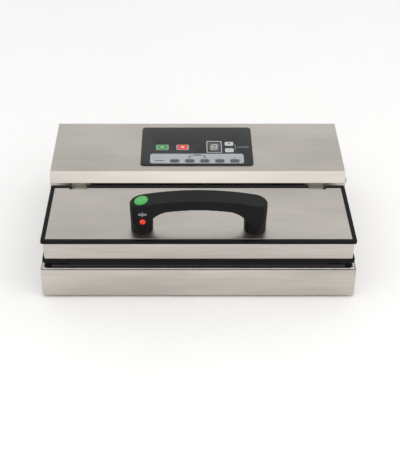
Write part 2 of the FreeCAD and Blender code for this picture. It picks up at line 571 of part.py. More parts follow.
KEYS = {
    "start_key": ("main_key", "start_x", "main_key_y"),
    "stop_key": ("main_key", "stop_x", "main_key_y"),
    "plus_key": ("time_key", "time_key_x", "plus_y"),
    "minus_key": ("time_key", "time_key_x", "minus_y"),
    **{f"mode_key_{n + 1}": ("mode_key", f"mode_first_x + {n} * mode_pitch", "mode_key_y")
       for n in range(5)},
}
CORNERS = {"main_key": "corner", "time_key": "corner", "mode_key": "strip_corner"}


def around(middle, size, extra="0"):
    return f"{middle} - {size} / 2 - {extra}", f"{middle} + {size} / 2 + {extra}"


def panel():
    """Membrane panel with its printed strip, display, lamp, nine keys, and the board behind them."""
    plate = slab("panel_plate", ("panel_left", "panel_right"), ("panel_front", "panel_back"),
                 ("0", "panel_thick"), "panel_corner")
    strip = slab("strip_film_plate", ("strip_left", "strip_right"), ("strip_front", "strip_back"),
                 ("panel_thick", "panel_thick + strip_film"), "strip_corner")
    openings, switches, spots = [], [], []
    for name, (kind, x, y) in KEYS.items():
        wide, long = f"{kind}_wide", f"{kind}_long"
        openings.append(slab(f"{name}_opening", around(x, wide, "key_play"), around(y, long, "key_play"),
                             ("-2", "panel_thick + 2"), CORNERS[kind]))
        cap = slab(f"{name}_cap", around(x, wide), around(y, long),
                   ("panel_thick + key_proud - key_deep", "panel_thick + key_proud"), CORNERS[kind])
        brim = SIZES["panel_thick"] + SIZES["key_proud"] - 0.01
        soften(cap, "key_play", lambda e: e.BoundBox.ZMin > brim)
        keep(name, on_panel(f"{name}_laid", cap))
        spots.append((name, x, y))
    for name, x, y in spots:
        low = "panel_thick + key_proud - key_deep - key_travel - 0.2"
        switches.append(box(f"{name}_switch", around(x, "6"), around(y, "6"),
                            ("-board_drop", low)))
    lamp_hole = rod("power_lamp_hole", "power_lamp_radius", "power_lamp_x", "power_lamp_y",
                    ("-2", "panel_thick + 2"))
    bezel_x, bezel_y = ("bezel_left", "bezel_right"), ("bezel_front", "bezel_back")
    display_hole = box("display_hole", bezel_x, bezel_y, ("-2", "panel_thick + 2"))
    drill = union("panel_drill", *openings, lamp_hole, display_hole)
    keep("control_panel", on_panel("control_panel_laid", cut("control_panel_cut", plate, drill)))
    keep("function_strip", on_panel("function_strip_laid", cut("function_strip_cut", strip, drill)))
    rim = box("bezel_block", bezel_x, bezel_y, ("-2", "panel_thick + bezel_proud"))
    eye_x = ("bezel_left + bezel_rim", "bezel_right - bezel_rim")
    eye_y = ("bezel_front + bezel_rim", "bezel_back - bezel_rim")
    eye = box("bezel_eye", eye_x, eye_y, ("-3", "panel_thick + 3"))
    keep("display_bezel", on_panel("display_bezel_laid", cut("display_bezel_cut", rim, eye)))
    digit = box("digit_block", eye_x, eye_y, ("-board_drop", "panel_thick - digit_sunk"))
    keep("digit_display", on_panel("digit_display_laid", digit))
    lens = rod("power_lamp_lens", "power_lamp_radius", "power_lamp_x", "power_lamp_y",
               ("-board_drop", "panel_thick + strip_film + 0.3"))
    keep("power_lamp", on_panel("power_lamp_laid", lens))
    board = box("board_sheet", ("panel_left + window_rim + 2", "panel_right - window_rim - 2"),
                ("panel_front + window_rim / 2 + 1", "panel_back - window_rim - 2"),
                ("-board_drop - board_thick", "-board_drop"))
    keep("control_board", on_panel("control_board_laid", board))
    keep("key_switches", on_panel("key_switches_laid", *switches))


# ---------------------------------------------------------------- what works inside
def pump():
    """Motor with a pump head at each end, on a cradle, with the hose, the valve and the tray's port."""
    axis_x = ("motor_x - motor_half", "motor_x + motor_half")
    can = rod("motor_can", "motor_radius", axis_x, "motor_y", "motor_z", axis="x")
    keep("pump_motor", can)
    for name, low in (("left", "motor_x - motor_half - head_wide"), ("right", "motor_x + motor_half")):
        head = box(f"head_{name}", (low, f"{low} + head_wide"),
                   ("motor_y - head_half_deep", "motor_y + head_half_deep"), ("head_low", "head_top - 18"))
        barrel = rod(f"barrel_{name}", "head_wide / 2 - 1", f"{low} + head_wide / 2", "motor_y",
                     ("head_top - 18", "head_top"))
        keep(f"pump_head_{name}", union(f"pump_head_joined_{name}", head, barrel))
    sole = box("cradle_sole", ("motor_x - motor_half - head_wide", "motor_x + motor_half + head_wide"),
               ("motor_y - 34", "motor_y + 34"), ("cradle_low", "cradle_low + 2"))
    cheeks = [box(f"cradle_cheek_{n}", (f"motor_x + {s} * 30 - 2", f"motor_x + {s} * 30 + 2"),
                  ("motor_y - 26", "motor_y + 26"), ("cradle_low + 2", "motor_z - 6"))
              for n, s in enumerate((-1, 1))]
    posts = [box(f"cradle_post_{n}", (f"{x} - 10", f"{x} + 10"), ("motor_y - 16", "motor_y + 16"),
                 ("cradle_low + 2", "head_low"))
             for n, x in enumerate(("motor_x - motor_half - 21", "motor_x + motor_half + 21"))]
    seat = rod("cradle_seat", "motor_radius", axis_x, "motor_y", "motor_z", axis="x")
    legs = box("cradle_legs", ("motor_x - 60", "motor_x + 60"), ("motor_y - 34", "motor_y + 34"),
               ("foot_high + plate_thick", "cradle_low"))
    keep("pump_cradle", cut("pump_cradle_cut", union("cradle_joined", sole, legs, *cheeks, *posts), seat))

    spout = rod("port_spout", "port_radius", "port_x", "port_y",
                ("hose_z + hose_radius", "base_top - trough_deep - tray_thick"))
    collar = rod("port_collar", "port_radius + 3", "port_x", "port_y",
                 ("base_top - trough_deep - tray_thick - 2.5", "base_top - trough_deep - tray_thick"))
    pipe = rod("port_pipe", "port_radius - 1.5", "port_x", "port_y", ("hose_z", "base_top"))
    keep("tray_port", cut("tray_port_cut", union("tray_port_joined", spout, collar), pipe))
    back_run = rod("hose_back_run", "hose_radius", "port_x", ("port_y", "valve_y"), "hose_z", axis="y")
    side_run = rod("hose_side_run", "hose_radius", ("valve_x", "port_x"), "valve_y", "hose_z", axis="x")
    elbows = []
    for n, (x, y) in enumerate((("port_x", "port_y"), ("port_x", "valve_y"), ("valve_x", "valve_y"))):
        elbow = doc.addObject("Part::Sphere", f"hose_elbow_{n}")
        elbow.setExpression("Radius", bound("hose_radius"))
        elbows.append(at(elbow, x, y, "hose_z"))
    sleeve = rod("hose_sleeve", "hose_radius", "port_x", "port_y", ("hose_z", "hose_z + 14"))
    rise = rod("hose_rise", "hose_radius", "valve_x", "valve_y", ("hose_z", "36"))
    socket = rod("hose_socket", "port_radius", "port_x", "port_y", ("hose_z + hose_radius", "hose_z + 15"))
    keep("vacuum_hose", cut("vacuum_hose_cut", union("vacuum_hose_joined", back_run, side_run, sleeve,
                                                     rise, *elbows), socket))
    valve = box("valve_case", ("valve_x - 11", "valve_x + 11"), ("valve_y - 12", "valve_y + 12"),
                ("36", "62"))
    coil = rod("valve_coil", "9", "valve_x", "valve_y", ("62", "84"))
    keep("release_valve", union("release_valve_joined", valve, coil))


def electrics():
    """Transformer, cooling fan, mains inlet and rocker switch."""
    core = box("core_block", ("core_x - 30", "core_x + 30"), ("core_y - 24", "core_y + 24"),
               ("foot_high + plate_thick", "62"))
    window = box("core_window", ("core_x - 20", "core_x + 20"), ("core_y - 30", "core_y + 30"),
                 ("20", "50"))
    keep("transformer_core", cut("core_cut", core, window))
    keep("transformer_coil", box("coil_block", ("core_x - 19.5", "core_x + 19.5"),
                                 ("core_y - 32", "core_y + 32"), ("20.5", "49.5")))
    frame = box("fan_block", ("fan_x - fan_half", "fan_x + fan_half"), ("fan_front", "fan_back"),
                ("fan_z - fan_half", "fan_z + fan_half"))
    bore = rod("fan_tunnel", "fan_bore", "fan_x", ("fan_front - 1", "fan_back - 2"), "fan_z", axis="y")
    outlet = rod("fan_outlet", "fan_bore - 2", "fan_x", ("fan_back - 3", "fan_back + 1"), "fan_z", axis="y")
    spider = [box(f"fan_strut_{n}", (f"fan_x - {a}", f"fan_x + {a}"), ("fan_back - 2", "fan_back"),
                  (f"fan_z - {b}", f"fan_z + {b}")) for n, (a, b) in enumerate(((28, 1.5), (1.5, 28)))]
    seat = rod("fan_seat", "hub_radius", "fan_x", ("fan_back - 2", "fan_back"), "fan_z", axis="y")
    shaft_hole = rod("fan_shaft_hole", "pin_radius + pin_play", "fan_x", ("fan_front", "fan_back + 1"),
                     "fan_z", axis="y")
    keep("fan_frame", cut("fan_frame_cut", union("fan_frame_joined", cut("fan_ring", frame, bore, outlet),
                                                 seat, *spider), shaft_hole))
    hub = rod("fan_hub", "hub_radius", "fan_x", ("fan_front + 2", "fan_back - 3"), "fan_z", axis="y")
    shaft = rod("fan_shaft", "pin_radius", "fan_x", ("fan_front + 2", "fan_back - 0.4"), "fan_z", axis="y")
    blades = []
    count = SIZES["blade_count"]
    for n in range(count):
        turn = Rotation(Vector(0, 1, 0), 360.0 * n / count) * Rotation(Vector(0, 0, 1), 40)
        blade = doc.addObject("Part::Box", f"blade_{n}")
        blade.setExpression("Length", bound("blade_thick"))
        blade.Width = 11
        blade.setExpression("Height", bound("blade_tip - hub_radius + 2"))
        centre = Vector(SIZES["fan_x"], (SIZES["fan_front"] + SIZES["fan_back"] - 1) / 2, SIZES["fan_z"])
        start = Vector(-SIZES["blade_thick"] / 2, -5.5, SIZES["hub_radius"] - 2)
        blade.Placement = Placement(centre, turn).multiply(Placement(start, Rotation()))
        blades.append(blade)
    keep("fan_rotor", union("fan_rotor_joined", hub, shaft, *blades))

    face = ("depth / 2", "depth / 2 + flange_out")
    flange = box("inlet_flange", around("inlet_x", "inlet_wide", "4"), face,
                 around("inlet_z", "inlet_tall", "3"))
    barrel = box("inlet_barrel", around("inlet_x", "inlet_wide", "-0.2"), ("depth / 2 - 22", "depth / 2"),
                 around("inlet_z", "inlet_tall", "-0.2"))
    socket = box("inlet_socket", around("inlet_x", "22"), ("depth / 2 - 16", "depth / 2 + 5"),
                 around("inlet_z", "15"))
    pins = [box(f"inlet_pin_{n}", around(f"inlet_x + {x}", "2"), ("depth / 2 - 17", "depth / 2 - 3"),
                around(f"inlet_z + {z}", "4")) for n, (x, z) in enumerate(((-7, -2), (0, 2), (7, -2)))]
    inlet = cut("inlet_cut", union("inlet_joined", flange, barrel), socket)
    keep("mains_inlet", union("mains_inlet_joined", inlet, *pins))
    case = box("rocker_case", around("rocker_x", "rocker_wide", "-0.2"), ("depth / 2 - 20", "depth / 2"),
               around("rocker_z", "rocker_tall", "-0.2"))
    rim = box("rocker_rim", around("rocker_x", "rocker_wide", "1.5"), ("depth / 2", "depth / 2 + 1"),
              around("rocker_z", "rocker_tall", "1.5"))
    well = box("rocker_well", around("rocker_x", "rocker_wide", "-1.4"), ("depth / 2 - 11", "depth / 2 + 5"),
               around("rocker_z", "rocker_tall", "-1.4"))
    keep("power_switch", cut("power_switch_cut", union("switch_joined", case, rim), well))
    paddle = rod("rocker_paddle", "7.6", both("rocker_wide / 2 - 1.8"), "0", "0", axis="x")
    trim = box("rocker_trim", both("rocker_wide"), ("-3.8", "6.6"), both("7.3"))
    tilted = group("rocker_tilted", common("rocker_common", paddle, trim))
    tilted.Placement = Placement(Vector(), Rotation(Vector(1, 0, 0), SIZES["rocker_tilt"]))
    keep("power_rocker", at(tilted, "rocker_x", "depth / 2 - rocker_axis_in", "rocker_z"))


def side_port():
    """Small hose port for outside containers on the right of the housing, closed by a soft plug."""
    span = ("width / 2 - wall - 8", "width / 2 + side_port_out")
    tube = rod("side_tube", "side_port_radius - pin_play", span, "side_port_y", "side_port_z", axis="x")
    nut = rod("side_nut", "side_port_radius + 2.5", ("width / 2 - wall - 3", "width / 2 - wall"),
              "side_port_y", "side_port_z", axis="x")
    bore = rod("side_bore_cut", "side_bore", ("width / 2 - 40", "width / 2 + 5"), "side_port_y",
               "side_port_z", axis="x")
    keep("side_port", cut("side_port_cut", union("side_port_joined", tube, nut), bore))
    cap = rod("plug_cap", "plug_radius", ("width / 2 + side_port_out", "width / 2 + plug_out"),
              "side_port_y", "side_port_z", axis="x")
    stem = rod("plug_stem", "side_bore", ("width / 2 - 4", "width / 2 + side_port_out"), "side_port_y",
               "side_port_z", axis="x")
    keep("port_plug", union("port_plug_joined", rounded("plug_domed", cap, "wall", lambda e: (
        e.BoundBox.XMin > SIZES["width"] / 2 + SIZES["plug_out"] - 0.01)), stem))


base_case()
chamber()
lid()
hinges()
handle()
housing()
panel()
pump()
electrics()
side_port()
doc.recompute()

failed = [f"{o.Name}: {o.State}" for o in doc.Objects if {"Invalid", "Error"} & set(o.State)]
if failed:
    raise SystemExit("failed objects: " + "; ".join(failed))
bad = [label for label, piece in parts.items() if piece.Shape.isNull() or not piece.Shape.isValid()]
if bad:
    raise SystemExit("bad shapes: " + ", ".join(bad))

os.makedirs("parts", exist_ok=True)
for label, piece in parts.items():
    piece.Shape.exportStep(os.path.join("parts", f"{label}.step"))
print(len(parts), "nodes written")
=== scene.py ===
"""Looks of a countertop vacuum sealer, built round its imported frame. Lengths are in mm until MM."""
import json
import math

import bmesh
import bpy
from mathutils import Matrix, Vector

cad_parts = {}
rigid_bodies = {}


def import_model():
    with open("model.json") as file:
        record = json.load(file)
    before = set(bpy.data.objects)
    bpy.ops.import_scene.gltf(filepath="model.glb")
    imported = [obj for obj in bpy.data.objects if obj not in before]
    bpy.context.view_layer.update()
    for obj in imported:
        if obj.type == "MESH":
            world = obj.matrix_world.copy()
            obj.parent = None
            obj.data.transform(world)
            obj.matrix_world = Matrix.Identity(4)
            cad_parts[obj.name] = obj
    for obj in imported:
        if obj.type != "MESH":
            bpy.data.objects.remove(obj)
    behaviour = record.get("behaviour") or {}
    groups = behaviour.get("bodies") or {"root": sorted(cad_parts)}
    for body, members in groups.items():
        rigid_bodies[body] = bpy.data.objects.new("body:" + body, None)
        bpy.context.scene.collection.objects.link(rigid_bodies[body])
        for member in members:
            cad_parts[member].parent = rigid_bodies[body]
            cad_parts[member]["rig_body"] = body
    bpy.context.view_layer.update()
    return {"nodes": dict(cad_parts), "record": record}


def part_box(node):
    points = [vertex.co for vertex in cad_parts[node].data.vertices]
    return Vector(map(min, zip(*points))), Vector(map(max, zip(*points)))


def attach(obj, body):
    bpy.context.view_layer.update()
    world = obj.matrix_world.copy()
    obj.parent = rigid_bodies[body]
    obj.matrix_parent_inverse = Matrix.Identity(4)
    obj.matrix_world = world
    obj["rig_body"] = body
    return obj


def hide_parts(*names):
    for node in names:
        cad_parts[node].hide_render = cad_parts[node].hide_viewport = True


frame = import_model()

MM = 0.001
BODY = {node: piece["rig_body"] for node, piece in frame["nodes"].items()}
SLOT = {part["node"]: part["material_slot"] for part in frame["record"]["subparts"]}

# The control panel's plane: the middle of the lip's top edge, and the slope up to the rear edge.
LIP_TOP = Vector((0, 14, 105)) * MM
SLOPE = math.atan2(5, 136)
PANEL = Matrix.Translation(LIP_TOP) @ Matrix.Rotation(SLOPE, 4, "X")
# Heights above that plane of the panel's film, the grey strip on it, and the keys.
PANEL_TOP, STRIP_TOP, KEY_TOP = 1.5, 1.8, 2.1


# ------------------------------------------------------------------ materials
def linear(hex_colour):
    """An sRGB hex colour as linear RGBA."""
    channels = [int(hex_colour[n:n + 2], 16) / 255 for n in (1, 3, 5)]
    return [c / 12.92 if c <= 0.04045 else ((c + 0.055) / 1.055) ** 2.4 for c in channels] + [1.0]


def add(tree, kind, inputs=None, **settings):
    """One node with its settings. An input is a value, or the socket that feeds it."""
    node = tree.nodes.new(kind)
    for name, value in settings.items():
        setattr(node, name, value)
    for key, value in (inputs or {}).items():
        if isinstance(value, bpy.types.NodeSocket):
            tree.links.new(value, node.inputs[key])
        else:
            node.inputs[key].default_value = value
    return node


def placed(tree, cell):
    """Coordinates on the piece in which one unit is a cell of so many mm on each axis."""
    place = add(tree, "ShaderNodeTexCoord")
    scale = [1000 / side for side in cell]
    return add(tree, "ShaderNodeMapping", {"Vector": place.outputs["Object"], "Scale": scale}).outputs[0]


def speckle(tree, cell, detail=3.0):
    """Noise with cells of so many mm."""
    return add(tree, "ShaderNodeTexNoise", {"Vector": placed(tree, cell), "Scale": 1.0, "Detail": detail,
                                            "Roughness": 0.6}).outputs["Fac"]


def brushed(tree):
    """Long fine scratches along X, and along Y on the end walls, as a belt leaves them."""
    along_x = speckle(tree, (70, 0.9, 0.9), detail=5.0)
    along_y = speckle(tree, (0.9, 70, 0.9), detail=5.0)
    normal = add(tree, "ShaderNodeTexCoord").outputs["Normal"]
    side = add(tree, "ShaderNodeSeparateXYZ", {0: normal}).outputs[0]
    facing = add(tree, "ShaderNodeMath", {0: side}, operation="ABSOLUTE").outputs[0]
    end_wall = add(tree, "ShaderNodeMath", {0: facing, 1: 0.7}, operation="GREATER_THAN").outputs[0]
    return add(tree, "ShaderNodeMix", {0: end_wall, 2: along_x, 3: along_y}).outputs[0]


def banded(axis, pitch):
    """A pattern of straight layers, one every so many mm along an axis."""
    def draw(tree):
        wave = {"Vector": placed(tree, (pitch,) * 3), "Scale": math.pi / 10, "Distortion": 0.3}
        return add(tree, "ShaderNodeTexWave", wave, wave_type="BANDS", bands_direction=axis).outputs["Fac"]
    return draw


def woven(pitch):
    """Plain weave: two sets of threads, one every so many mm, that cross."""
    def draw(tree):
        warp, weft = (banded(axis, pitch)(tree) for axis in "XY")
        return add(tree, "ShaderNodeMath", {0: warp, 1: weft}, operation="MULTIPLY").outputs[0]
    return draw


def surface(name, dark, light, rough, cell=(1, 1, 1), bump=0.0, clouds=(45, 45, 45), pattern=None,
            **sockets):
    """A finish whose colour and roughness run between two values with its grain and with soft clouds."""
    look = bpy.data.materials.new(name)
    look.use_nodes = True
    tree = look.node_tree
    shader = tree.nodes["Principled BSDF"]
    fine = pattern(tree) if pattern else speckle(tree, cell)
    cloud = speckle(tree, clouds, detail=2.0)
    mixed = add(tree, "ShaderNodeMath", {0: fine, 1: cloud}, operation="ADD").outputs[0]
    spread = {"Value": mixed, "From Min": 0.6, "From Max": 1.4}
    share = add(tree, "ShaderNodeMapRange", spread).outputs[0]
    colour = add(tree, "ShaderNodeMix", {0: share, 6: linear(dark), 7: linear(light)}, data_type="RGBA")
    tree.links.new(colour.outputs[2], shader.inputs["Base Color"])
    spread = {"Value": mixed, "From Min": 0.6, "From Max": 1.4, "To Min": rough[0], "To Max": rough[1]}
    roughness = add(tree, "ShaderNodeMapRange", spread).outputs[0]
    tree.links.new(roughness, shader.inputs["Roughness"])
    if bump:
        relief = add(tree, "ShaderNodeBump", {"Height": fine, "Strength": 1.0, "Distance": bump * MM})
        tree.links.new(relief.outputs[0], shader.inputs["Normal"])
    for socket, value in sockets.items():
        shader.inputs[socket.replace("_", " ")].default_value = value
    return look


LOOKS = {
    # Cold-rolled stainless sheet, belt brushed along its length: warm grey with streaks. The real
    # scratches are a few hundredths of a mm wide, too fine to show, so they are drawn 0.9 mm wide.
    "steel": surface("brushed_stainless", "#B0ABA4", "#D5D0C9", (0.26, 0.42), pattern=brushed,
                     bump=0.014, clouds=(190, 90, 28), Metallic=1.0, Anisotropic=0.5),
    # The same sheet as it leaves the mill: smoother and a little brighter, with no direction.
    "inner_steel": surface("mill_stainless", "#BDBAB4", "#D9D6D0", (0.22, 0.34), (6, 6, 6),
                           Metallic=1.0),
    # Nickel plated mild steel: soft and warm, with the faint cloud of the plating.
    "zinc_steel": surface("plated_steel", "#B5B0A8", "#D0CBC3", (0.45, 0.6), (2.5, 2.5, 2.5),
                          bump=0.01, Metallic=1.0),
    # Black mouldings have a spark-eroded grain whose pits trap part of the highlight, so their
    # specular level is well under the 0.5 of polished plastic.
    # ABS with a satin grain: near black, with a soft sheen.
    "black_trim": surface("satin_black_abs", "#0C0D0D", "#151616", (0.36, 0.48), (0.8, 0.8, 0.8),
                          bump=0.02, IOR=1.53, Specular_IOR_Level=0.08),
    # The deck is the same ABS from a coarser mould, so it takes almost no light.
    "black_deck": surface("grained_black_abs", "#0A0A0B", "#131313", (0.5, 0.66), (1.1, 1.1, 1.1),
                          bump=0.06, IOR=1.53, Specular_IOR_Level=0.12),
    # Glass-filled nylon: charcoal, with an even matt grain.
    "black_handle": surface("grained_black_nylon", "#0B0B0C", "#141415", (0.36, 0.46), (0.9, 0.9, 0.9),
                            bump=0.03, IOR=1.53, Specular_IOR_Level=0.13),
    "black_plastic": surface("plain_black_nylon", "#0F0F0F", "#1B1B1B", (0.34, 0.5), (0.7, 0.7, 0.7),
                             bump=0.02, IOR=1.53, Specular_IOR_Level=0.2),
    # Vacuum-formed ABS sheet: dark grey, slightly wavy where it was drawn.
    "grey_liner": surface("formed_grey_abs", "#4A4A4B", "#5A5A5B", (0.34, 0.5), (5, 5, 5), bump=0.03,
                          IOR=1.53),
    # Closed-cell neoprene foam: open pores about 1 mm across where the skin was cut.
    "foam": surface("cut_foam", "#1B1B1C", "#37373A", (0.8, 0.95), (1.0, 1.0, 1.0), bump=0.25, IOR=1.4),
    # Black silicone rubber, extruded: soft sheen, fine lines along its length.
    "silicone": surface("black_silicone", "#141415", "#212122", (0.45, 0.6), (30, 0.6, 0.6), bump=0.03,
                        IOR=1.41),
    "feet_rubber": surface("black_rubber", "#141414", "#242424", (0.62, 0.8), (1.2, 1.2, 1.2),
                           bump=0.06, IOR=1.5),
    # Phenolic board, with the faint lines of its sheets. Its near-black colour is partly the board's own and
    # partly painted shade for the gap under the closed lid, where the bar sits.
    "bar": surface("phenolic_board_and_gap_shade", "#17130F", "#2A231C", (0.4, 0.55), pattern=banded("Z", 0.6),
                   bump=0.01, IOR=1.6),
    "nichrome": surface("nichrome_ribbon", "#A8A199", "#C4BDB4", (0.2, 0.36), (12, 0.4, 0.4),
                        Metallic=1.0),
    # Glass cloth dipped in dark fluoropolymer, with threads every 0.9 mm and a waxy sheen.
    "ptfe": surface("coated_glass_cloth", "#221D18", "#3A3229", (0.34, 0.5), pattern=woven(0.9),
                    bump=0.05, IOR=1.38, Sheen_Weight=0.15),
    # Polyester film printed on its back: dark grey under an even velvet texture.
    "panel_film": surface("velvet_polyester", "#2C2D2D", "#363737", (0.36, 0.46), (0.6, 0.6, 0.6),
                          bump=0.008, IOR=1.57, Specular_IOR_Level=0.14),
    "strip_film": surface("grey_printed_film", "#9FA6A9", "#ABB2B5", (0.34, 0.44), (0.6, 0.6, 0.6),
                          bump=0.006, IOR=1.57),
    "green_key": surface("green_membrane", "#2C8A3C", "#38994A", (0.3, 0.4), (1.5, 1.5, 1.5), IOR=1.57),
    "red_key": surface("red_membrane", "#D23A2C", "#E4473A", (0.3, 0.4), (1.5, 1.5, 1.5), IOR=1.57),
    "grey_key": surface("grey_membrane", "#B4BCBF", "#C8CFD1", (0.32, 0.42), (1.5, 1.5, 1.5), IOR=1.57),
    "dark_key": surface("charcoal_membrane", "#303132", "#434445", (0.3, 0.42), (1.5, 1.5, 1.5),
                        IOR=1.57),
    # Polished green ABS: even colour and a clear highlight.
    "green_button": surface("green_abs", "#2EA446", "#38B252", (0.24, 0.34), (3, 3, 3), IOR=1.53),
    # Tinted acrylic over a red lamp: it glows a little of itself.
    "red_lens": surface("red_acrylic", "#D22C12", "#E84024", (0.14, 0.24), (2, 2, 2), IOR=1.49,
                        Emission_Color=linear("#FF3C1E"), Emission_Strength=0.12),
    "lamp_lens": surface("frosted_acrylic", "#8E9496", "#A9AFB0", (0.25, 0.35), (1, 1, 1), IOR=1.49),
    "bezel": surface("pale_blue_frame", "#A9B3BC", "#C3CCD4", (0.25, 0.36), (2, 2, 2), IOR=1.53),
    "display": surface("smoked_acrylic", "#0B0B0C", "#121213", (0.08, 0.16), (8, 8, 8), IOR=1.49),
    # Glass-epoxy board under solder mask: deep green, with the weave just visible.
    "board": surface("solder_mask", "#0F4A26", "#1B6136", (0.3, 0.42), pattern=woven(0.8), bump=0.01,
                     IOR=1.55),
    "motor_paint": surface("black_enamel", "#1A1B1D", "#26272A", (0.28, 0.42), (1.8, 1.8, 1.8),
                           bump=0.02, Coat_Weight=0.3),
    "cast_alloy": surface("die_cast_aluminium", "#8D8F92", "#B1B3B5", (0.42, 0.6), (1.4, 1.4, 1.4),
                          bump=0.05, Metallic=1.0),
    # Transformer steel, stamped and stacked: thin sheets on edge under varnish.
    "core_steel": surface("stacked_core_steel", "#3C3936", "#6A655F", (0.35, 0.6),
                          pattern=banded("Y", 1.0), bump=0.05, Metallic=1.0),
    # Enamelled copper wire, layer on layer.
    "copper": surface("copper_winding", "#6E3014", "#B05C2C", (0.25, 0.4), pattern=banded("Y", 0.9),
                      bump=0.15, Metallic=1.0),
    "hose": surface("grey_silicone", "#8B8F90", "#A0A4A5", (0.4, 0.52), (4, 4, 4), IOR=1.41,
                    Subsurface_Weight=0.05),
    # Clear silicone: milky blue-white, soft and slightly see-through.
    "soft_clear": surface("milky_silicone", "#B5C4CE", "#CAD6DE", (0.3, 0.42), (3, 3, 3), IOR=1.41,
                          Transmission_Weight=0.35),
}
# Screen inks: matt, opaque, and a few hundredths of a mm thick.
WHITE_INK = surface("white_ink", "#C6C9C9", "#D6D8D8", (0.45, 0.55), (0.8, 0.8, 0.8))
SILVER_INK = surface("silver_ink", "#8E9295", "#A2A6A9", (0.35, 0.45), (0.8, 0.8, 0.8))
GREY_INK = surface("grey_ink", "#76787A", "#868889", (0.45, 0.55), (0.8, 0.8, 0.8))
BLACK_INK = surface("black_ink", "#1E1F20", "#2C2D2E", (0.45, 0.55), (0.8, 0.8, 0.8))
GREEN_INK = surface("moss_green_ink", "#6BA873", "#7DB884", (0.4, 0.5), (0.8, 0.8, 0.8))
DIGIT_FACE = surface("digit_reflector", "#575856", "#6E6F6C", (0.4, 0.5), (0.6, 0.6, 0.6))
DIGIT_LIGHT = surface("digit_light_bar", "#B7B5AC", "#CAC8BF", (0.3, 0.4), (0.6, 0.6, 0.6))


# ------------------------------------------------------------------ mesh tools
def piece(name, bm, node, looks=None, replace=True, sharp=32.0, turn=True):
    """Makes an object of a mesh that goes with a CAD node: its body, its slot, and maybe its place."""
    if turn:
        bmesh.ops.recalc_face_normals(bm, faces=bm.faces)
    for face in bm.faces:
        face.smooth = True
    for edge in bm.edges:
        if edge.is_manifold:
            edge.smooth = abs(edge.calc_face_angle(0.0)) < math.radians(sharp)
    mesh = bpy.data.meshes.new(name)
    bm.to_mesh(mesh)
    bm.free()
    made = bpy.data.objects.new(name, mesh)
    bpy.context.scene.collection.objects.link(made)
    for look in looks or [LOOKS[SLOT[node]]]:
        mesh.materials.append(look)
    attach(made, BODY[node])
    if replace:
        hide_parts(node)
    return made


def bevel(bm, edges, width, segments=3):
    """Rounds the given edges to a width in mm."""
    bmesh.ops.bevel(bm, geom=list(edges), offset=width * MM, offset_type="OFFSET", segments=segments,
                    profile=0.5, affect="EDGES", clamp_overlap=False, material=-1)


def hard_edges(bm, angle=35.0):
    """The edges whose two faces meet at more than an angle in degrees."""
    limit = math.radians(angle)
    return [e for e in bm.edges if e.is_manifold and abs(e.calc_face_angle(0.0)) > limit]


def copy_of(node):
    """A merged copy of a CAD node, with its flat faces whole again."""
    bm = bmesh.new()
    bm.from_mesh(frame["nodes"][node].data)
    bmesh.ops.remove_doubles(bm, verts=bm.verts, dist=0.002 * MM)
    bmesh.ops.dissolve_limit(bm, angle_limit=math.radians(0.4), verts=bm.verts, edges=bm.edges)
    return bm


def eased(node, width, segments=3):
    """A CAD node with the radius that folding, moulding or deburring leaves on its edges."""
    bm = copy_of(node)
    bevel(bm, hard_edges(bm), width, segments)
    return piece(f"{node}_eased", bm, node, turn=False)


def moulded(node, voxel, rounds, seat, sunk):
    """A CAD node remeshed and relaxed, so that every edge gets the soft radius of a moulding. What
    stands under the seat height is sunk first, so that it still meets the sheet with a sharp line."""
    bm = copy_of(node)
    bmesh.ops.translate(bm, verts=[v for v in bm.verts if v.co.z < seat * MM], vec=(0, 0, -sunk * MM))
    blank = bpy.data.objects.new(f"{node}_blank", bpy.data.meshes.new(f"{node}_blank"))
    bm.to_mesh(blank.data)
    bm.free()
    bpy.context.scene.collection.objects.link(blank)
    skin = blank.modifiers.new("skin", "REMESH")
    skin.mode = "VOXEL"
    skin.voxel_size = voxel * MM
    relax = blank.modifiers.new("relax", "SMOOTH")
    relax.factor = 0.5
    relax.iterations = rounds
    graph = bpy.context.evaluated_depsgraph_get()
    mesh = bpy.data.meshes.new_from_object(blank.evaluated_get(graph))
    bpy.data.objects.remove(blank)
    bm = bmesh.new()
    bm.from_mesh(mesh)
    return bm


def together(parts):
    """Several meshes as one."""
    whole = bmesh.new()
    for part in parts:
        mesh = bpy.data.meshes.new("part")
        part.to_mesh(mesh)
        part.free()
        whole.from_mesh(mesh)
        bpy.data.meshes.remove(mesh)
    return whole


def moved(bm, matrix):
    """The mesh, put where the matrix says."""
    bmesh.ops.transform(bm, matrix=matrix, verts=bm.verts)
    return bm


def shifted(x, y, z):
    """A shift by so many mm."""
    return Matrix.Translation(Vector((x, y, z)) * MM)


def prism(wide, long, low, high, corner=None):
    """An upright prism round the origin: an oval, or a rectangle with rounded corners."""
    bm = bmesh.new()
    if corner is None:
        bmesh.ops.create_cone(bm, cap_ends=True, segments=72, radius1=0.5, radius2=0.5, depth=1.0)
    else:
        bmesh.ops.create_cube(bm, size=1.0)
    bmesh.ops.scale(bm, vec=(wide * MM, long * MM, (high - low) * MM), verts=bm.verts)
    moved(bm, shifted(0, 0, (low + high) / 2))
    if corner:
        bevel(bm, [e for e in bm.edges if abs(e.verts[0].co.z - e.verts[1].co.z) > 0.5 * (high - low) * MM],
              corner, 8)
    return bm


def top_of(bm):
    """The highest face of a mesh."""
    return max(bm.faces, key=lambda face: face.calc_center_median().z)


def crowned(bm, rim, rise, step, rings=4):
    """Rounds a prism's top edge and lifts its top in rings of a shallow dome. The rings together
    stay narrower than the corner radius, or the corners would fold over."""
    bevel(bm, top_of(bm).edges, rim, 4)
    top = top_of(bm)
    for ring in range(rings):
        lift = rise * (2 * (rings - ring) - 1) / rings ** 2
        bmesh.ops.inset_individual(bm, faces=[top], thickness=step * MM, depth=lift * MM)
    return bm


